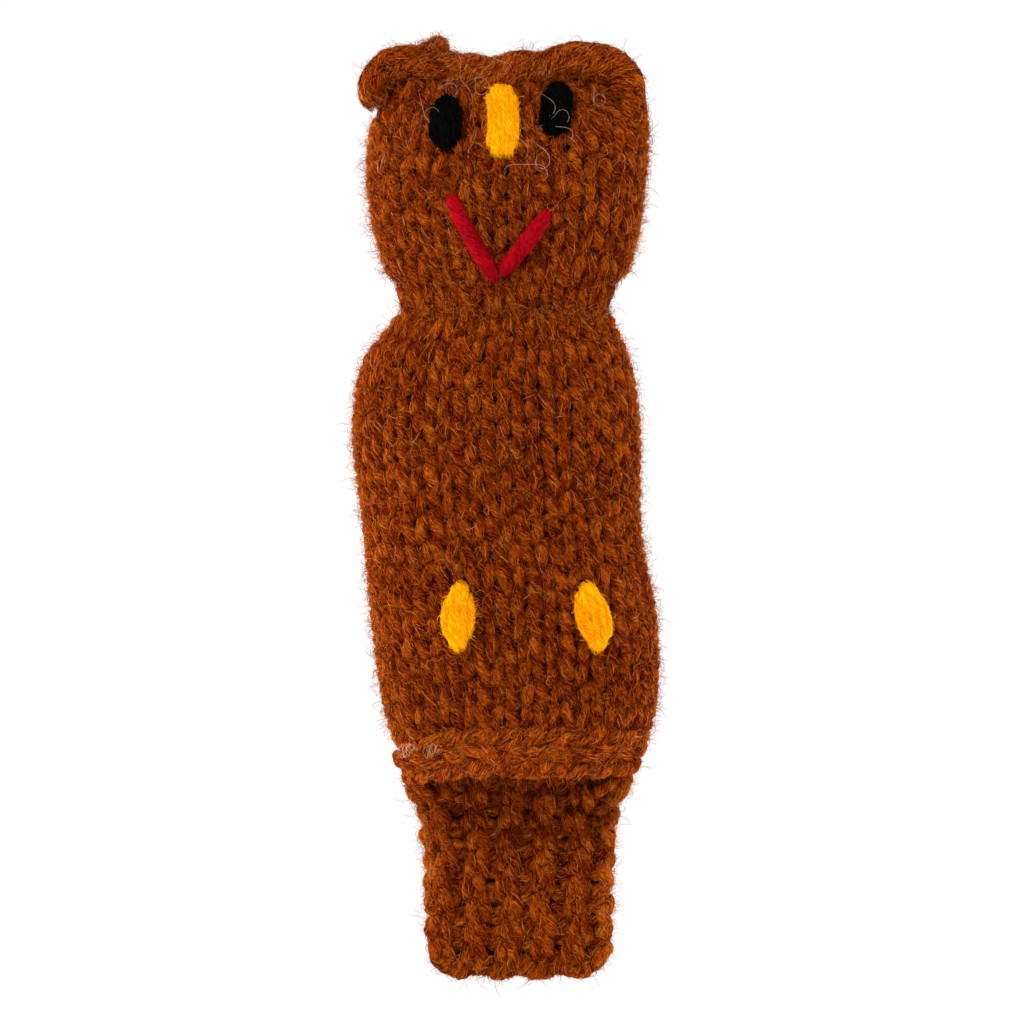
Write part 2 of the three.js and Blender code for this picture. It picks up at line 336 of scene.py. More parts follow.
def rope(strands, centre, radius, number, yarn, turns, normal=FORWARD, uneven=0.12):
    """Several yarns laid round a centre line, which they circle the given number of turns."""
    count = len(centre)
    tangent = unit(np.gradient(centre, axis=0))
    side = unit(np.cross(tangent, np.array(normal, float)))
    up = np.cross(side, tangent)
    t = np.linspace(0, 1, count)
    radius = np.broadcast_to(np.asarray(radius, float), (count,))
    gather = (1 - np.abs(2 * t - 1) ** 10) ** 0.5
    for k in range(number):
        angle = 2 * math.pi * (k / number + turns * t) + wander(count, uneven, 12)
        away = ((radius - yarn) * gather)[:, None]
        ring = side * np.cos(angle)[:, None] + up * np.sin(angle)[:, None]
        path = centre + ring * (away + wander(count, uneven, 8)[:, None])
        tube(strands, path, ring, yarn)


# --- fibres
FIBRE_SIDES = 3
FIBRE_POINTS = 4  # on a fibre that lies on the yarn
LOOSE_POINTS = 5  # on one that stands off it


def hairs(strands, paths, radius, shade):
    """Tapered three-sided hairs. paths is hair by point by xyz."""
    number, count, _ = paths.shape
    tangent = unit(np.gradient(paths, axis=1))
    side = unit(np.cross(tangent, RANDOM.normal(0, 1, (number, 1, 3))))
    up = np.cross(side, tangent)
    taper = np.sqrt(np.clip(1 - np.linspace(-0.97, 0.97, count) ** 2, 0.05, 1))
    angle = np.arange(FIBRE_SIDES) * 2 * math.pi / FIBRE_SIDES
    ring = side[:, :, None] * np.cos(angle)[:, None] + up[:, :, None] * np.sin(angle)[:, None]
    points = paths[:, :, None] + ring * (radius[:, None] * taper[None])[:, :, None, None]
    size, here = count * FIBRE_SIDES, np.arange(FIBRE_SIDES)
    first = (np.arange(number) * size)[:, None]
    quads = first[:, :, None] + ring_quads(count, FIBRE_SIDES)
    caps = np.concatenate([first + here[::-1], first + size - FIBRE_SIDES + here])
    slots = [np.repeat(shade, (count - 1) * FIBRE_SIDES), np.tile(shade, 2)]
    flat = points.reshape(-1, 3)
    strands.add(flat, [quads.reshape(-1, 4), caps], flat, slots)


def pick_on_yarn(lines, number):
    """Random places on yarns: which line, how far along it in steps, and the angle round it."""
    sizes = np.array([len(line[0]) for line in lines], float)
    line = RANDOM.choice(len(lines), number, p=sizes / sizes.sum())
    along = RANDOM.uniform(0.02, 0.98, number) * (sizes[line] - 1)
    angle = RANDOM.uniform(0, 2 * math.pi, number)
    return line, along, angle


def read_lines(lines, line, along):
    """Path point, side, up and radius of each picked yarn at a place along it."""
    offset = np.concatenate([[0], np.cumsum([len(item[0]) for item in lines])])
    sizes = np.diff(offset)
    along = np.clip(along, 0, sizes[line] - 1.001)
    i = along.astype(int)
    t = (along - i)[..., None]
    found = []
    for part in range(3):
        whole = np.concatenate([item[part] for item in lines])
        found.append(whole[offset[line] + i] * (1 - t) + whole[offset[line] + i + 1] * t)
    whole = np.concatenate([item[3] for item in lines])
    return *found, whole[offset[line] + i]


PLY_LEAN = 0.9  # turn of a laid fibre round its yarn, in radians a millimetre


def laid_fibres(strands, lines, number, length, radius, shades, lift, skew=0.5, facing=None):
    """Fibres that run along the yarn's surface and lift a little at their ends.

    shades is each material's share of the fibres, and facing says which to keep.
    """
    line, along, angle = pick_on_yarn(lines, number)
    step = np.array([np.linalg.norm(item[0][1:] - item[0][:-1], axis=1).mean() for item in lines])
    size = RANDOM.uniform(*length, number)
    lean = RANDOM.normal(PLY_LEAN, skew, number)
    t = np.linspace(-0.5, 0.5, FIBRE_POINTS)
    rise = RANDOM.uniform(0.0, lift, (number, 2))
    paths = np.empty((number, FIBRE_POINTS, 3))
    keep = np.ones(number, bool)
    for k, share in enumerate(t):
        place, side, up, yarn = read_lines(lines, line, along + share * size / step[line])
        turned = angle + share * size * lean
        away = side * np.cos(turned)[:, None] + up * np.sin(turned)[:, None]
        end = np.where(share < 0, rise[:, 0], rise[:, 1]) * (2 * abs(share)) ** 2
        paths[:, k] = place + away * (yarn * 1.02 + end)[:, None]
        if facing is not None and k == 1:
            keep = facing(place, away)
    shade = RANDOM.choice(len(shades), number, p=shades)
    hairs(strands, paths[keep], RANDOM.uniform(*radius, number)[keep], shade[keep])


def loose_fibres(strands, lines, number, length, radius, shades, facing=None):
    """Fine fibres that stand off the yarn and curl."""
    line, along, angle = pick_on_yarn(lines, number)
    place, side, up, yarn = read_lines(lines, line, along)
    away = side * np.cos(angle)[:, None] + up * np.sin(angle)[:, None]
    start = place + away * (yarn * 0.9)[:, None]
    keep = np.ones(number, bool) if facing is None else facing(place, away)
    heading = unit(away * 0.8 + RANDOM.normal(0, 0.75, (number, 3)))
    across = unit(np.cross(heading, RANDOM.normal(0, 1, (number, 3))))
    size = RANDOM.uniform(*length, number) * RANDOM.uniform(0.5, 1, number)
    t = np.linspace(0, 1, LOOSE_POINTS)[None]
    swing = RANDOM.uniform(1.2, 4.5, number)[:, None] * t
    forward = (np.sin(swing) / np.maximum(swing, 1e-6) * t)[:, :, None]
    sideways = ((1 - np.cos(swing)) / np.maximum(swing, 1e-6) * t)[:, :, None]
    forward[:, 0] = sideways[:, 0] = 0
    curled = heading[:, None] * forward + across[:, None] * sideways
    paths = start[:, None] + curled * size[:, None, None]
    shade = RANDOM.choice(len(shades), number, p=shades)
    hairs(strands, paths[keep], RANDOM.uniform(*radius, number)[keep], shade[keep])


# --- materials
STREAK_STRETCH = (1, 1, 0.32)  # the wool's pattern is drawn out along the yarn
MOTTLE_SHARE = 0.2  # how far the mottling moves the colour either way
WOOL_BUMP, HAIR_BUMP = (0.7, 0.0003), (0.3, 0.0001)  # strength and distance


def set_inputs(node, **values):
    """Sets a node's sockets by their names, with _ for a space."""
    for name, value in values.items():
        node.inputs[name.replace("_", " ")].default_value = value


def new_material(name, **values):
    """A material, its nodes and links, its shader, and a node that reads a vertex's strand."""
    material = bpy.data.materials.new(name)
    material.use_nodes = True
    nodes, links = material.node_tree.nodes, material.node_tree.links
    shader = nodes["Principled BSDF"]
    set_inputs(shader, **values)
    strand = nodes.new("ShaderNodeAttribute")
    strand.attribute_name = "strand"
    return material, nodes, links, shader, strand


def add_relief(nodes, links, height, shader, bump):
    relief = nodes.new("ShaderNodeBump")
    set_inputs(relief, Strength=bump[0], Distance=bump[1])
    links.new(height, relief.inputs["Height"])
    links.new(relief.outputs["Normal"], shader.inputs["Normal"])


def wool(name, stops, streak=7.5):
    """Dyed wool: streaks along the fibres, mottling along the yarn, and a fibrous relief."""
    material, nodes, links, shader, strand = new_material(
        name, Roughness=0.9, Specular_IOR_Level=0.01,
        Sheen_Weight=0.03, Sheen_Roughness=0.5, Sheen_Tint=(*stops[-1][1], 1),
    )
    stretch = nodes.new("ShaderNodeVectorMath")
    stretch.operation = "MULTIPLY"
    stretch.inputs[1].default_value = STREAK_STRETCH
    links.new(strand.outputs["Vector"], stretch.inputs[0])
    fibres = nodes.new("ShaderNodeTexNoise")
    set_inputs(fibres, Scale=streak, Detail=4, Roughness=0.7)
    links.new(stretch.outputs[0], fibres.inputs["Vector"])
    mottle = nodes.new("ShaderNodeTexNoise")
    set_inputs(mottle, Scale=0.5, Detail=2)
    links.new(strand.outputs["Vector"], mottle.inputs["Vector"])
    share = nodes.new("ShaderNodeMapRange")
    set_inputs(share, To_Min=-MOTTLE_SHARE, To_Max=MOTTLE_SHARE)
    links.new(mottle.outputs["Fac"], share.inputs["Value"])
    mixed = nodes.new("ShaderNodeMath")
    links.new(fibres.outputs["Fac"], mixed.inputs[0])
    links.new(share.outputs[0], mixed.inputs[1])
    ramp = nodes.new("ShaderNodeValToRGB")
    while len(ramp.color_ramp.elements) < len(stops):
        ramp.color_ramp.elements.new(0.5)
    for element, (place, colour) in zip(ramp.color_ramp.elements, stops):
        element.position = place
        element.color = (*colour, 1)
    links.new(mixed.outputs[0], ramp.inputs["Fac"])
    links.new(ramp.outputs["Color"], shader.inputs["Base Color"])
    add_relief(nodes, links, fibres.outputs["Fac"], shader, WOOL_BUMP)
    return material


def hair(name, colour):
    """One shade of loose fibre, with the small scales of a wool hair in its relief."""
    material, nodes, links, shader, strand = new_material(
        name, Base_Color=(*colour, 1), Roughness=0.8, Specular_IOR_Level=0.02
    )
    scales = nodes.new("ShaderNodeTexNoise")
    set_inputs(scales, Scale=9)
    links.new(strand.outputs["Vector"], scales.inputs["Vector"])
    add_relief(nodes, links, scales.outputs["Fac"], shader, HAIR_BUMP)
    return material


def lighter(stops, share):
    """The same colours, this many times as bright."""
    return [(place, tuple(share * v for v in colour)) for place, colour in stops]


RUST_STOPS = [
    (0.36, (0.017, 0.0008, 0.0002)),
    (0.46, (0.100, 0.0080, 0.0005)),
    (0.56, (0.225, 0.0330, 0.0013)),
    (0.70, (0.410, 0.1150, 0.0085)),
]
RUST = wool("rust_wool", RUST_STOPS)
# Painted light: the hem, crown and yarn end, the ears, and the seams and selvedges are lighter
# copies of the same rust wool, a painted highlight where these edges catch the light.
LIT_EDGE_WOOL = wool("rust_edge_wool_painted_light", lighter(RUST_STOPS, 1.3))
LIT_EAR_WOOL = wool("rust_ear_wool_painted_light", lighter(RUST_STOPS, 1.2))
LIT_RIM_WOOL = wool("rust_rim_wool_painted_light", lighter(RUST_STOPS, 1.42))
# Painted shade: the matting between the loops is near black, far darker than the rust wool, to
# stand for the shade in the gaps between them.
SHADE_FELT_STOPS = [(0.4, (0.010, 0.0008, 0.0002)), (0.7, (0.050, 0.0050, 0.0005))]
SHADE_FELT = wool("matted_wool_painted_shade", SHADE_FELT_STOPS, streak=3)
YELLOW_STOPS = [
    (0.32, (0.64, 0.150, 0.0002)),
    (0.5, (0.95, 0.360, 0.0006)),
    (0.7, (1.0, 0.560, 0.0030)),
]
BLACK_STOPS = [(0.3, (0.0001, 0.0001, 0.0001)), (0.7, (0.0012, 0.0012, 0.0013))]
RED_STOPS = [
    (0.32, (0.090, 0.0003, 0.0008)),
    (0.5, (0.270, 0.0008, 0.0030)),
    (0.7, (0.46, 0.0030, 0.0110)),
]
YELLOW = wool("yellow_wool", YELLOW_STOPS)
BLACK = wool("black_wool", BLACK_STOPS)
RED = wool("red_wool", RED_STOPS)
RUST_HAIRS = [
    hair("hair_brown", (0.016, 0.0012, 0.0004)),
    hair("hair_rust", (0.150, 0.0150, 0.0008)),
    hair("hair_orange", (0.330, 0.0540, 0.0020)),
    hair("hair_gold", (0.420, 0.1200, 0.0075)),
    hair("hair_pale", (0.400, 0.1400, 0.0700)),
]

# Share of each rust shade, from brown to pale, in the fibres of the cloth, of its haze and so on
RUST_SHARES = (0.31, 0.29, 0.26, 0.12, 0.02)
HAZE_SHARES = (0.12, 0.25, 0.33, 0.24, 0.06)
MAT_SHARES = (0.44, 0.30, 0.19, 0.06, 0.01)
# Painted light: the edge and rim fibres lean to orange and gold, lighter than the cloth's, a
# painted highlight on the hem, crown, seams, selvedges and the neck's haze.
EDGE_PAINTED_LIGHT_SHARES = (0.16, 0.24, 0.34, 0.22, 0.04)
RIM_PAINTED_LIGHT_SHARES = (0.02, 0.13, 0.37, 0.42, 0.06)

YELLOW_HAIRS = [
    hair("hair_amber", (0.72, 0.200, 0.0003)),
    hair("hair_yellow", (1.0, 0.46, 0.0010)),
]
BLACK_HAIRS = [
    hair("hair_black", (0.0003, 0.0003, 0.0003)),
    hair("hair_charcoal", (0.004, 0.004, 0.0044)),
]
RED_HAIRS = [
    hair("hair_crimson", (0.19, 0.0005, 0.0020)),
    hair("hair_red", (0.42, 0.0035, 0.0110)),
]
STRAY = hair("hair_stray", (0.40, 0.280, 0.240))
SNAG = hair("hair_snag", (0.52, 0.220, 0.120))


# --- pieces that cross a joint, and how far each joint reaches
NECK_REACH = 4.5  # the neck's joint reaches this far on each side of the neck
TAIL_HINGE = float(box_mm("tail_flap")[1][2])
TAIL_BEND = (0.5, -4.5)  # and the tail's from here to here over its flap's top
LINKS = {
    "body": ("torso", "collar", NECK - NECK_REACH, NECK),
    "head": ("collar", "head", NECK, NECK + NECK_REACH),
    "tail": ("torso", "tail", *(TAIL_HINGE + over for over in TAIL_BEND)),
}


def finish_piece(strands, name, materials, link, node=None):
    """Makes the object, hangs it on its body or, if it crosses a joint, bakes it in place, and
    hides the CAD part it stands for.
    """
    piece = strands.make(name, materials)
    if link in LINKS:
        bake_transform(piece)
    else:
        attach(piece, link)
    if node:
        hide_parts(node)
    return piece


# --- knitting
LOOP_DRIFT = 0.06  # how far loops wander sideways, as a share of a stitch
LOOP_UNEVEN = 0.12  # and up, down, in and out
EDGE_PLACE = 0.002  # place across of the outermost yarn at the left seam


def row_heights(low, high, pitches):
    """Middle heights and pitches of rows that change evenly from the lowest to the highest."""
    count = round((high - low) / (sum(pitches) / 2))
    steps = np.linspace(*pitches, count)
    steps *= (high - low) / steps.sum()
    return low + np.cumsum(steps) - steps / 2, steps


def knit(side, part, stitches, low, high, pitches):
    """Plain knitting across the front or back cloth. Each row is one yarn of linked loops."""
    strands, word = Strands(), WORDS[side]
    for z, pitch in zip(*row_heights(low, high, pitches)):
        turns = np.linspace(0, 2 * math.pi * stitches, stitches * STEPS_PER_STITCH + 1)
        count = len(turns)
        across = turns / (2 * math.pi * stitches) + LOOP_LEAN * np.sin(2 * turns) / stitches
        across += wander(count, LOOP_DRIFT) / stitches
        height = z + (pitch + LOOP_REACH) / 2 * np.cos(turns) + wander(count, LOOP_UNEVEN)
        out = -CLOTH_DEPTH - LOOP_DEPTH * np.cos(2 * turns) + wander(count, LOOP_UNEVEN)
        across = np.clip(across, EDGE_PLACE, 1 - EDGE_PLACE)
        path, normal = on_cloth(side, across, height, out)
        snug = min(1.0, float(cloth_width(side, z)) / stitches / SNUG_WIDTH)
        tube(strands, path, normal, YARN_RADIUS * snug)
    node = f"{part}_{word}_panel"
    finish_piece(strands, f"{word}_{part}_knitting", [RUST], part, node)
    return strands.lines


FELT_STEP, FELT_COLUMNS = 0.8, 60


def shade_felt(name, low, high, link):
    """The matted wool between the loops, painted near black as the shade that falls there: a closed
    tube of cloth just under their middle.

    Gives the piece and its flat size, which is its largest girth by its height.
    """
    strands = Strands()
    rows = max(4, int((high - low) / FELT_STEP))
    u = np.linspace(0, 1, FELT_COLUMNS)
    rings = []
    for z in np.linspace(low, high, rows):
        front, _ = on_cloth(-1, u, z, -FELT_DEPTH)
        back, _ = on_cloth(1, u[::-1], z, -FELT_DEPTH)
        rings.append(np.concatenate([front[1:-1], back[1:-1]]))
    points = np.array(rings)
    flat = points.reshape(-1, 3)
    strands.add(flat, [ring_quads(rows, points.shape[1])], flat, [0])
    piece = finish_piece(strands, name, [SHADE_FELT], link)
    girth = np.linalg.norm(np.diff(points, axis=1), axis=2).sum(1).max()
    return piece, (girth * MM, (high - low) * MM)


# --- the haze of loose wool
FACING = -0.45  # fibres are kept this far round to the yarn's inner side
MOST_HAIRS = 9500  # in one piece
LAID_LENGTH, LAID_RADIUS = (0.9, 2.6), (0.026, 0.060)
LAID_LIFT, LAID_SKEW = 0.32, 0.75
LOOSE_SHORTEST, LOOSE_RADIUS = 0.6, (0.014, 0.031)


def outward(side):
    """Keeps fibres on the side of the yarn that faces out of the cloth."""
    return lambda place, away: away[:, 1] * side > FACING


def fuzz(
    name, lines, link, laid, loose,
    facing=None, shares=RUST_SHARES, haze=HAZE_SHARES, reach=2.8,
):
    """Laid fibres and a loose haze, so many of each, over a piece of knitting or rolled edge."""
    parts = math.ceil(laid / MOST_HAIRS)
    for part in range(parts):
        strands = Strands()
        laid_fibres(
            strands, lines, laid // parts, LAID_LENGTH, LAID_RADIUS, shares,
            lift=LAID_LIFT, skew=LAID_SKEW, facing=facing,
        )
        finish_piece(strands, f"{name}_fibres_{part + 1}", RUST_HAIRS, link)
    strands = Strands()
    loose_fibres(strands, lines, loose, (LOOSE_SHORTEST, reach), LOOSE_RADIUS, haze, facing=facing)
    finish_piece(strands, f"{name}_haze", RUST_HAIRS, link)


MAT_LENGTH, MAT_RADIUS = (0.7, 2.4), (0.018, 0.045)
MAT_BEND = 1.6  # how much the fibres curve, in radians
MAT_DEPTH = (-0.85, 0.05)  # of a fibre's middle, from the outer surface
MAT_ENDS = (-0.35, 0.45)  # how far its ends stand out from there


def matted_fibres(name, link, side, low, high, number):
    """Short fibres that lie every way over the loops and bridge the gaps between them."""
    strands = Strands()
    t = np.linspace(-0.5, 0.5, FIBRE_POINTS)
    z = RANDOM.uniform(low, high, number)
    u = RANDOM.uniform(0.01, 0.99, number)
    size = RANDOM.uniform(*MAT_LENGTH, number)
    heading = RANDOM.uniform(0, 2 * math.pi, number)
    bend = RANDOM.normal(0, MAT_BEND, number)
    depth = RANDOM.uniform(*MAT_DEPTH, number)
    ends = RANDOM.uniform(*MAT_ENDS, (number, 2))
    paths = np.empty((number, FIBRE_POINTS, 3))
    for k, share in enumerate(t):
        turned = heading + bend * share
        across = np.clip(u + np.cos(turned) * size * share / cloth_width(side, z), 0, 1)
        out = depth + np.where(share < 0, ends[:, 0], ends[:, 1]) * (2 * abs(share)) ** 2
        paths[:, k], _ = on_cloth(side, across, z + np.sin(turned) * size * share, out)
    radius = RANDOM.uniform(*MAT_RADIUS, number)
    hairs(strands, paths, radius, RANDOM.choice(len(MAT_SHARES), number, p=MAT_SHARES))
    finish_piece(strands, name, RUST_HAIRS, link)


LINES = {}
for side in WORDS:
    low = FRONT_LOW - 0.4 if side < 0 else BACK_LOW + 0.8
    LINES[side, "body"] = knit(side, "body", BODY_STITCHES, low, NECK, BODY_ROWS)
    LINES[side, "head"] = knit(side, "head", HEAD_STITCHES, NECK, CROWN + 1.2, HEAD_ROWS)
BODY_SHADE_FELT, BODY_FLAT = shade_felt("body_matting_painted_shade", FRONT_LOW, NECK, "body")
HEAD_SHADE_FELT, HEAD_FLAT = shade_felt("head_matting_painted_shade", NECK, CROWN + 1.5, "head")

CLOTH_HAIRS = {"body": (36000, 9500, 7500), "head": (18000, 7500, 4200)}  # laid, loose, matted
SIDE_SHARES = {-1: 1.0, 1: 0.5}  # the back has fewer
for side, word in WORDS.items():
    share = SIDE_SHARES[side]
    for part, (laid, loose, _) in CLOTH_HAIRS.items():
        lines = LINES[side, part]
        fuzz(f"{word}_{part}", lines, part, int(laid * share), int(loose * share), outward(side))
    heights = {"body": (FRONT_LOW if side < 0 else BACK_LOW, NECK), "head": (NECK, CROWN)}
    for part, (_, _, matted) in CLOTH_HAIRS.items():
        name = f"{word}_{part}_matted_fibres"
        matted_fibres(name, part, side, *heights[part], int(matted * share))


# --- seams, edges and ears
SEAM_YARN = 0.72  # radius
SEAM_SINK = 0.55  # depth under the cloth's outer surface
SEAM_PITCH = 2.9  # height of one stitch
SEAM_SWING, SEAM_BUMP = 0.9, 0.35  # how far the yarn swings to front and back, and bulges out
SEAM_HAIRS = {"body": (3000, 6200), "head": (1800, 3900)}


def seam(side, word, part):
    """The sewn edge: two yarns that cross up the slot between front and back."""
    node = f"{part}_{word}_seam"
    low, high = box_mm(node)
    strands = Strands()
    z = np.linspace(low[2], high[2] + 1, int((high[2] - low[2]) * 5))
    turn = 2 * math.pi * z / SEAM_PITCH
    path, _ = on_cloth(-1, EDGE_PLACE if side < 0 else 1 - EDGE_PLACE, z, -SEAM_SINK)
    path[:, 1] = SEAM_SWING * np.sin(turn)
    path[:, 0] += side * SEAM_BUMP * np.cos(2 * turn)
    tube(strands, path, (side, 0, 0), SEAM_YARN)
    tube(strands, path * (1, -1, 1), (side, 0, 0), SEAM_YARN)
    finish_piece(strands, f"{word}_{part}_seam_yarn", [LIT_RIM_WOOL], part, node)
    return strands.lines


for side, word in ((-1, "left"), (1, "right")):
    for part, (laid, loose) in SEAM_HAIRS.items():
        name, lines = f"{word}_{part}_seam", seam(side, word, part)
        fuzz(name, lines, part, laid, loose, shares=RIM_PAINTED_LIGHT_SHARES, haze=RIM_PAINTED_LIGHT_SHARES)


HEM_ROPES = ((0.38, -1.4, 3.5), (0.78, -0.75, -3.0), (1.25, -0.95, 2.5))  # height, out, turns
HEM_DIP, DIP_PLACE, DIP_REACH = 1.0, 0.1, 0.12  # the edge sags near the left end


def hem():
    """The cast-on edge: ropes of yarn, one over the other, along the front of the mouth."""
    strands = Strands()
    low, high = box_mm("front_hem")
    u = np.linspace(0.02, 0.98, 260)
    for level, out, turns in HEM_ROPES:
        dip = -HEM_DIP * np.exp(-(((u - DIP_PLACE) / DIP_REACH) ** 2))
        z = low[2] + level * (high[2] - low[2]) * 1.15 + dip + wander(len(u), 0.15, 30)
        centre, _ = on_cloth(-1, u, z, out)
        rope(strands, centre, 1.35, number=4, yarn=0.70, turns=turns, normal=UP, uneven=0.34)
    finish_piece(strands, "cast_on_edge", [LIT_EDGE_WOOL], "torso", "front_hem")
    return strands.lines


fuzz("cast_on_edge", hem(), "torso", 9400, 3400, shares=EDGE_PAINTED_LIGHT_SHARES)


def crown():
    """The bound-off edge, rolled forward along the top of the head."""
    strands = Strands()
    low, high = box_mm("crown_edge")
    y, z = (low[1:] + high[1:]) / 2
    y -= 0.9
    centre = curve([
        (low[0] - 1.5, y, z), (low[0] / 2, y, z - 0.4),
        (high[0] / 2, y, z - 0.1), (high[0] + 1.5, y, z + 0.3),
    ], 90)
    rope(strands, centre, 2.35, number=5, yarn=0.98, turns=0.8, uneven=0.26)
    finish_piece(strands, "bound_off_crown", [LIT_EDGE_WOOL], "head", "crown_edge")
    return strands.lines


# Each point is a share of the way out to the ear's end, how far back it is, a height over the
# top of the ear's box, and the roll's radius there.
LEFT_EAR_ROUTE = [
    (-0.15, -0.8, -2.0, 1.9), (0.33, -1.0, -1.5, 2.05), (0.59, -1.1, -1.4, 2.0),
    (0.8, -1.3, -2.4, 1.95), (0.9, -1.5, -4.2, 1.8), (0.87, -1.3, -6.2, 1.6),
]
RIGHT_EAR_ROUTE = [
    (-0.2, -0.8, -1.9, 1.9), (0.16, -1.1, -1.2, 2.1), (0.51, -1.5, -1.6, 2.15),
    (0.71, -1.8, -2.9, 2.1), (0.82, -1.9, -5.1, 1.8), (0.88, -1.7, -8.0, 1.4),
    (0.93, -1.1, -10.4, 0.9),
]


def ear(word, side, route):
    """A corner of the crown that has curled over into a soft roll."""
    strands, node = Strands(), f"{word}_ear"
    low, high = box_mm(node)
    inner, outer = (high[0], low[0]) if side < 0 else (low[0], high[0])
    points = [(inner + share * (outer - inner), y, high[2] + z) for share, y, z, _ in route]
    centre = curve(points, 80)
    thickness = [point[3] for point in route]
    t = np.linspace(0, 1, len(centre))
    radius = np.interp(t, np.linspace(0, 1, len(thickness)), thickness)
    rope(strands, centre, radius, number=7, yarn=0.95, turns=0.5 * side, uneven=0.2)
    rope(strands, centre, radius * 0.5, number=3, yarn=0.8, turns=0.4)
    finish_piece(strands, f"{word}_curled_ear", [LIT_EAR_WOOL], "head", node)
    return strands.lines


fuzz("bound_off_crown", crown(), "head", 5000, 2400, shares=EDGE_PAINTED_LIGHT_SHARES)
for word, side, route in (("left", -1, LEFT_EAR_ROUTE), ("right", 1, RIGHT_EAR_ROUTE)):
    fuzz(f"{word}_ear", ear(word, side, route), "head", 6500, 2600)


def yarn_end():
    """The cut end of the yarn, standing out above the left ear."""
    strands = Strands()
    low, high = box_mm("left_ear_yarn_end")
    centre = curve([
        (low[0] - 2.0, -0.2, low[2] - 2.6),
        (low[0] - 0.1, 0, low[2] - 1.0),
        (high[0] - 0.6, 0.2, high[2] - 0.9),
    ], 30)
    rope(strands, centre, 1.3, number=4, yarn=0.6, turns=0.5)
    finish_piece(strands, "cut_yarn_end", [LIT_EDGE_WOOL], "head", "left_ear_yarn_end")
    return strands.lines


fuzz("cut_yarn_end", yarn_end(), "head", 1500, 1500, shares=EDGE_PAINTED_LIGHT_SHARES)


def neck_yarn():
    """The gathering yarn, sunk in the crease of the neck."""
    strands = Strands()
    u = np.linspace(0, 1, 80)
    front, _ = on_cloth(-1, u, NECK, -1.3)
    back, _ = on_cloth(1, u[::-1], NECK, -1.3)
    loop = np.concatenate([front[:-1], back])
    rope(strands, loop, 0.75, number=2, yarn=0.45, turns=16, normal=UP)
    finish_piece(strands, "gathering_yarn", [RUST], "collar", "neck_gathering_yarn")
    return strands.lines


fuzz("gathering_yarn", neck_yarn(), "collar", 1200, 2600, haze=RIM_PAINTED_LIGHT_SHARES, reach=4.6)


# --- embroidery
THREADS = {"black": (BLACK, BLACK_HAIRS), "yellow": (YELLOW, YELLOW_HAIRS), "red": (RED, RED_HAIRS)}
SATIN_HAIRS = {"black": 1200, "yellow": 2600}
THREAD_LAID_RADIUS, THREAD_LOOSE_RADIUS = (0.022, 0.045), (0.010, 0.022)


def thread_fibres(name, colour, link, lines, laid, loose, shares, lift, skew=0.5):
    """Fibres on the outer side of a thread. laid and loose are a number and a range of lengths."""
    strands, facing = Strands(), outward(-1)
    laid_fibres(strands, lines, *laid, THREAD_LAID_RADIUS, shares, lift, skew, facing)
    loose_fibres(strands, lines, *loose, THREAD_LOOSE_RADIUS, shares, facing)
    finish_piece(strands, name, THREADS[colour][1], link)


def satin(node, colour, number, tilt=0.0, bow=0.0, point=0.0, shift=0.0, blunt=2.2):
    """Upright stitches side by side: each comes out of the cloth, bows over it and goes back in.

    tilt and bow lean and curve them, point draws their ends together, shift moves them all
    sideways, and a higher blunt makes the outline squarer.
    """
    strands = Strands()
    low, high = box_mm(node)
    width, height = high[0] - low[0], high[2] - low[2]
    x, z = (low[0] + high[0]) / 2 + shift, (low[2] + high[2]) / 2 + 0.15
    link = "head" if z > NECK else "torso"
    yarn = 0.68 * width / number
    longest = height / 2 * (0.95 - 0.04 * point)
    t = np.linspace(-1, 1, 23)
    for k in range(number):
        share = (2 * k + 1) / number - 1
        half = longest * (1 - abs(0.96 * share) ** blunt) ** 0.5 * RANDOM.uniform(0.98, 1.02)
        spread = share * (width / 2 - yarn * 0.6) * (1 - point * t**2)
        across = x + spread + tilt * t + bow * (1 - t**2)
        out = 0.45 + 0.45 * (1 - share**2) - 1.3 * t**8
        path, normal = on_front(across, z + half * t, out)
        tube(strands, path, normal, yarn * RANDOM.uniform(0.94, 1.06), depth=0.08)
    finish_piece(strands, f"{node}_stitches", THREADS[colour][:1], link, node)
    many = SATIN_HAIRS[colour]
    laid, loose = (many, (0.8, 2.2)), (many // 2, (0.5, 1.6))
    name = f"{node}_stitches_fibres"
    thread_fibres(name, colour, link, strands.lines, laid, loose, (0.45, 0.55), lift=0.2)


satin("left_eye", "black", 7, tilt=0.1, shift=0.12)
satin("right_eye", "black", 7, tilt=0.2)
satin("beak", "yellow", 7, tilt=-0.1, bow=0.3, shift=-0.3, blunt=4)
satin("left_foot", "yellow", 5, tilt=0.1, point=0.45)
satin("right_foot", "yellow", 5, tilt=-0.6, point=0.45)


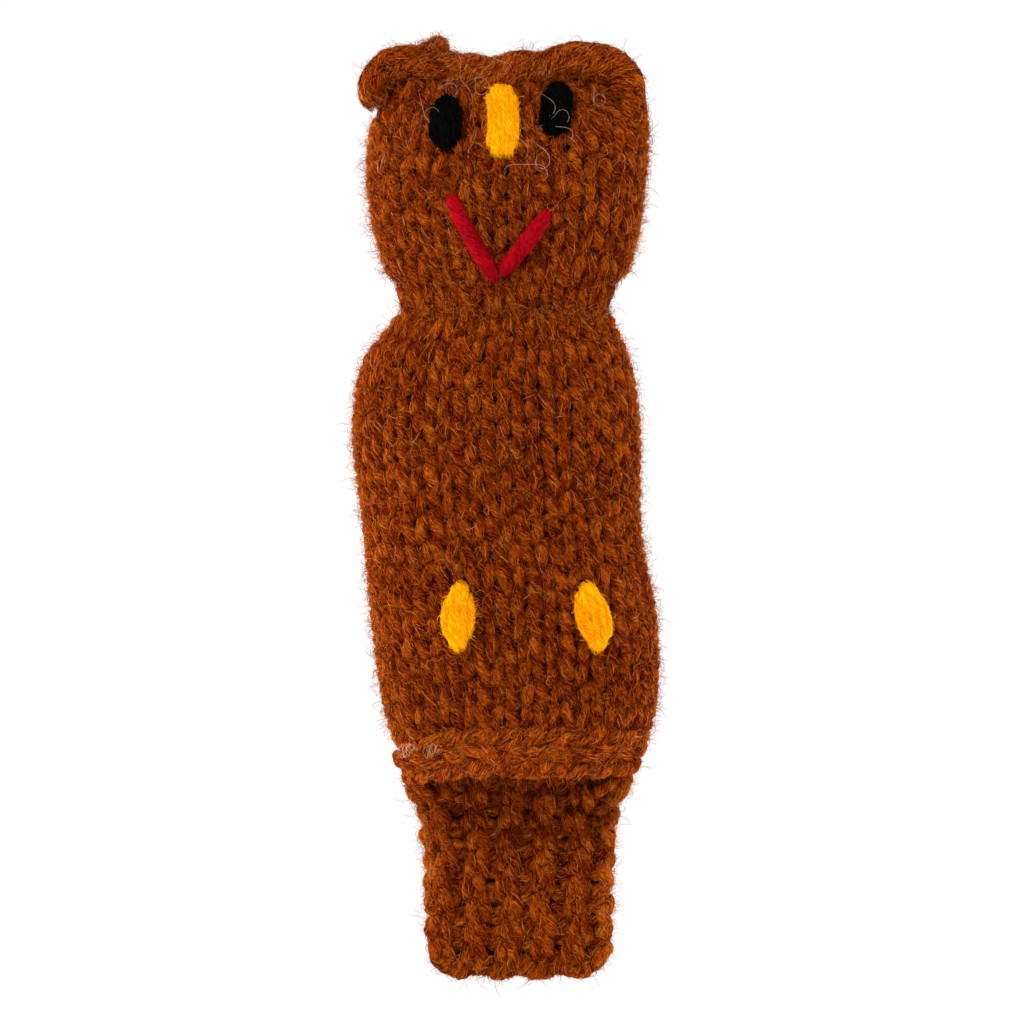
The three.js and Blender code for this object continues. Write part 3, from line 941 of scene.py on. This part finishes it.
def mouth(word, dive):
    """One straight stitch of thick red yarn, whose lower end goes this far into the cloth."""
    strands = Strands()
    node, name = f"mouth_{word}_stitch", f"{word}_mouth_stitch_yarn"
    low, high = box_mm(node)
    yarn = 0.92
    if word == "left":
        start = (low[0] + yarn * 0.85, high[2] - yarn * 0.7)
        end = (high[0] - yarn * 0.7, low[2] + yarn * 0.4)
    else:
        start = (high[0] - yarn * 0.5, high[2] - yarn * 0.5)
        end = (low[0] - 1.7, low[2] - 1.7)
    t = np.linspace(0, 1, 40)
    x, z = start[0] + t * (end[0] - start[0]), start[1] + t * (end[1] - start[1])
    sink = (np.abs(2 * t - 1)) ** 5
    out = 0.65 - 1.5 * sink - dive * t**2
    path, normal = on_front(x, z, out)
    radius = yarn * (1 - 0.45 * sink)
    tube(strands, path, normal, radius, sides=16, plies=2, depth=0.06, lay=9)
    finish_piece(strands, name, [RED], "head", node)
    laid, loose = (1800, (1.5, 4)), (500, (0.4, 1.4))
    lines, shares = strands.lines, (0.5, 0.5)
    thread_fibres(f"{name}_fibres", "red", "head", lines, laid, loose, shares, lift=0.12, skew=0.25)


mouth("left", dive=0.0)
mouth("right", dive=0.9)


# --- tail flap
TAIL_TUCK = 0.5  # how far the tail's top runs in front of the back's lowest row
TAIL_YARN = 0.8
TAIL_STEPS = 18  # on each stitch
TAIL_TOP = 4.6  # the ribs run this far up behind the hem
RIB_DEPTH, RIB_STEP = 0.55, 0.45  # of a loop's bow, and of knit columns before purl ones
SELVEDGE_YARN, SELVEDGE_PITCH = 0.78, 2.65
# Side, place from the flap's edge, how far the yarn flares at the top and over what height
SELVEDGES = ((-1, 0.7, 3.2, 3.2), (1, -0.7, 2.7, 2.8))


def tail():
    """The ribbed flap: knit columns stand forward and purl columns back.

    A selvedge yarn binds each side. Gives the lines of the knitting and of the selvedges.
    """
    strands = Strands()
    low, high = box_mm("tail_flap")
    edge_low = box_mm("tail_bound_edge")[0][2]
    x, y = (low[0] + high[0]) / 2, (low[1] + high[1]) / 2
    columns = 2 * TAIL_RIBS
    width = high[0] - low[0] - 1.8
    heights, steps = row_heights(edge_low + 3.0, high[2] + TAIL_TOP, TAIL_ROWS)
    for row, (z, pitch) in enumerate(zip(heights, steps)):
        ends = RANDOM.uniform(0.2, 0.9, 2)
        turns = np.linspace(-ends[0], 2 * math.pi * columns + ends[1], columns * TAIL_STEPS + 1)
        count = len(turns)
        rib = np.tanh(2.2 * np.cos(turns / 2 - math.pi / 2))
        spread = width * (1 + (0.04 if row % 2 else -0.03)) / columns
        across = (turns / (2 * math.pi) - columns / 2) * spread
        across += 0.24 * spread * np.sin(2 * turns) + wander(count, 0.26) + RANDOM.normal(0, 0.2)
        height = z + (pitch + 1.3) / 2 * np.cos(turns) + wander(count, 0.3)
        depth = RIB_DEPTH * rib * np.cos(2 * turns) - RIB_STEP * rib + wander(count, 0.14)
        tuck = TAIL_TUCK / (1 + np.exp((high[2] - height) * 1.6))
        path = np.stack([x + across, y + depth - tuck, height], 1)
        radius = TAIL_YARN * (1 + wander(count, 0.05))
        tube(strands, path, FORWARD, radius)
    finish_piece(strands, "ribbed_tail_knitting", [RUST], "tail", "tail_flap")
    selvedge = Strands()
    bottom = edge_low + 2.2
    for side, inset, flare, fall in SELVEDGES:
        edge = (low[0] if side < 0 else high[0]) + inset
        height = np.linspace(high[2] + 3.2, bottom, 230)
        count = len(height)
        beat = 2 * math.pi * height / SELVEDGE_PITCH
        corner = 1.3 * np.exp((bottom - height) / 1.4)
        flared = flare * np.exp((height - high[2] - 2.7) / fall)
        spread = edge + side * (flared + 0.32 * np.sin(beat) - corner)
        out = y + 0.5 * np.sin(beat / 2) + wander(count, 0.15, 12)
        path = np.stack([spread + wander(count, 0.12, 12), out, height], 1)
        tube(selvedge, path, FORWARD, SELVEDGE_YARN)
    finish_piece(selvedge, "tail_selvedge_yarn", [LIT_RIM_WOOL], "tail")
    return strands.lines, selvedge.lines


def tail_edge():
    """The bound-off edge of the tail: a rope that scallops its lower side."""
    strands = Strands()
    low, high = box_mm("tail_bound_edge")
    x, y = (low + high)[:2] / 2
    t = np.linspace(-1, 1, 150)
    scallop = 0.35 * np.cos(2 * math.pi * t * 2)
    across = x + t * ((high[0] - low[0]) / 2 - 0.2)
    centre = np.stack([across, y + 0 * t, low[2] + 2.1 + scallop + 0.9 * t**4], 1)
    rope(strands, centre, 1.35, number=3, yarn=0.78, turns=4.5)
    finish_piece(strands, "bound_off_tail_edge", [RUST], "tail", "tail_bound_edge")
    return strands.lines


def tail_shade_felt():
    """The flap's cloth, between the knit and the purl columns, painted near black as the shade
    there, and its flat size.
    """
    strands = Strands()
    low, high = box_mm("tail_flap")
    bottom = box_mm("tail_bound_edge")[0][2] + 2.4
    rows, columns = 24, 40
    x = np.linspace(low[0] + 1.2, high[0] - 1.2, columns)
    z = np.linspace(bottom, high[2] + 1.5, rows)
    spread = 1 + 0.22 * np.exp((z - high[2] - 1.5) / 3)
    middle = (low + high) / 2
    across = middle[0] + (x - middle[0]) * spread[:, None]
    grid = np.stack([across, np.full_like(across, middle[1]), z[:, None] + 0 * across], 2)
    start = (np.arange(rows - 1)[:, None] * columns + np.arange(columns - 1)[None]).ravel()
    quads = np.stack([start, start + 1, start + columns + 1, start + columns], 1)
    flat = grid.reshape(-1, 3)
    strands.add(flat, [quads], flat, [0])
    piece = finish_piece(strands, "tail_matting_painted_shade", [SHADE_FELT], "tail")
    return piece, ((x[-1] - x[0]) * MM, (z[-1] - z[0]) * MM)


TAIL_LINES, SELVEDGE_LINES = tail()
EDGE_LINES = tail_edge()
TAIL_SHADE_FELT, TAIL_FLAT = tail_shade_felt()
fuzz("ribbed_tail", TAIL_LINES, "tail", 13500, 3700)
fuzz("tail_selvedge", SELVEDGE_LINES, "tail", 1500, 2200, shares=RIM_PAINTED_LIGHT_SHARES, haze=RIM_PAINTED_LIGHT_SHARES)
fuzz("bound_off_tail_edge", EDGE_LINES, "tail", 3000, 1400)


# --- hairs and a snag
STRAY_RADIUS, SNAG_RADIUS = 0.021, 0.024
# Where each stray hair starts, aside of and above the middle of a piece of the face
STRAY_STARTS = (
    ("beak", -5, 4), ("beak", 1, 5), ("beak", 3, -2), ("beak", -4, 1),
    ("right_eye", -2, 2), ("right_eye", -1, -2), ("right_eye", 1, -4), ("beak", -8, 3),
    ("beak", 2, -5), ("beak", -9, -1), ("right_eye", 4, 0), ("beak", 4, -7),
)
SNAG_FOLDS = ((0, 2.0, 7), (2.8, 1.9, 9), (0.4, 1.6, 4))  # start, reach and number of folds


def stray_hairs():
    """Long pale hairs caught on the face, each a lazy curl lying just off the wool."""
    strands = Strands()
    t = np.linspace(0, 1, 20)
    paths = []
    for node, aside, above in STRAY_STARTS:
        middle = middle_of(node)
        x, z = middle[0] + aside, middle[2] + above
        heading = RANDOM.uniform(-0.9, 0.9)
        curl = RANDOM.uniform(2.5, 6.0) * RANDOM.choice([-1, 1])
        step = RANDOM.uniform(5, 9) / len(t)
        angle = heading + curl * t + 1.1 * np.sin(6 * t + heading)
        across, up = x + np.cumsum(np.cos(angle)) * step, z + np.cumsum(np.sin(angle)) * step
        path, _ = on_front(across, up, 1.0 + 0.5 * np.sin(6 * t + heading))
        paths.append(path)
    radius, shade = np.full(len(paths), STRAY_RADIUS), np.zeros(len(paths), int)
    hairs(strands, np.array(paths), radius, shade)
    finish_piece(strands, "stray_hairs", [STRAY], "head")


def snag():
    """A pale thread caught in the edge of the pocket, folded to and fro."""
    strands = Strands()
    low, high = box_mm("front_hem")
    t = np.linspace(0, 1, 260)
    for start, reach, folds in SNAG_FOLDS:
        fold = 2 * math.pi * folds * t + start
        x = low[0] - 1.6 + start + reach * t + 0.18 * np.sin(1.7 * fold)
        swing = 0.9 * np.sin(fold) * (0.7 + 0.3 * np.sin(5 * t))
        z = high[2] + 0.2 + swing - 0.3 * np.cos(3 * t)
        path, _ = on_front(x, z, 0.85 + 0.15 * np.cos(fold))
        hairs(strands, path[None], np.array([SNAG_RADIUS]), np.zeros(1, int))
    finish_piece(strands, "snagged_thread", [SNAG], "torso")


stray_hairs()
snag()


# --- floor, light and camera
# From here on lengths are in metres.
FLOOR_REACH, FLOOR_LEVEL, FLOOR_GREY = 2.0, -0.15, 0.9
BACKGROUND, SKY = 1.0, 0.63  # strength of the white seen, and of the white that lights
LAMP_TARGET = (0, 0, 0.03)
LAMPS = (  # name, place, size and power
    ("key", (-0.22, -0.45, 0.42), 0.3, 5.0),
    ("fill", (0.25, 0.5, 0.4), 0.35, 4.6),
    ("left_side", (-0.45, 0.14, 0.03), 0.35, 3.8),
    ("right_side", (0.45, 0.14, 0.03), 0.35, 3.8),
)
VIEW_WIDTH = 0.1208  # what the camera sees across, at the puppet
VIEW_ASIDE, VIEW_DROP = 0.0005, 0.0001  # of the camera from the puppet's middle
FOCAL_LENGTH = 500  # in millimetres


def floor():
    mesh = bpy.data.meshes.new("floor")
    angles = np.linspace(0, 2 * math.pi, 96, endpoint=False)
    rim = [(FLOOR_REACH * math.cos(a), FLOOR_REACH * math.sin(a), FLOOR_LEVEL) for a in angles]
    mesh.from_pydata(rim, [], [tuple(range(len(rim)))])
    ground = bpy.data.objects.new("floor", mesh)
    bpy.context.scene.collection.objects.link(ground)
    pale = bpy.data.materials.new("pale_floor")
    pale.use_nodes = True
    grey = (FLOOR_GREY, FLOOR_GREY, FLOOR_GREY, 1)
    set_inputs(pale.node_tree.nodes["Principled BSDF"], Base_Color=grey)
    mesh.materials.append(pale)


def sky():
    """White behind everything, and a softer white that lights the puppet from all round."""
    world = bpy.data.worlds.new("studio")
    world.use_nodes = True
    nodes, links = world.node_tree.nodes, world.node_tree.links
    rays = nodes.new("ShaderNodeLightPath")
    strength = nodes.new("ShaderNodeMapRange")
    set_inputs(strength, To_Min=SKY, To_Max=BACKGROUND)
    links.new(rays.outputs["Is Camera Ray"], strength.inputs["Value"])
    set_inputs(nodes["Background"], Color=(1, 1, 1, 1))
    links.new(strength.outputs[0], nodes["Background"].inputs["Strength"])
    bpy.context.scene.world = world


def lamp(name, place, size, power):
    light = bpy.data.lights.new(name, "AREA")
    light.size, light.energy = size, power
    holder = bpy.data.objects.new(name, light)
    holder.location = place
    aim = Vector(LAMP_TARGET) - Vector(place)
    holder.rotation_euler = aim.to_track_quat("-Z", "Y").to_euler()
    bpy.context.scene.collection.objects.link(holder)


def camera():
    """A long lens, level with the puppet's middle and straight in front of its face."""
    lens = bpy.data.cameras.new("camera")
    lens.lens, lens.clip_end = FOCAL_LENGTH, 20
    holder = bpy.data.objects.new("camera", lens)
    low, high = CAD_BOX
    away = -VIEW_WIDTH * lens.lens / lens.sensor_width
    holder.location = (VIEW_ASIDE, away, (low[2] + high[2]) / 2 - VIEW_DROP)
    holder.rotation_euler = (math.pi / 2, 0, 0)
    bpy.context.scene.collection.objects.link(holder)
    bpy.context.scene.camera = holder


floor()
sky()
for name, place, size, power in LAMPS:
    lamp(name, place, size, power)
camera()
bpy.context.scene.view_settings.view_transform = "Standard"
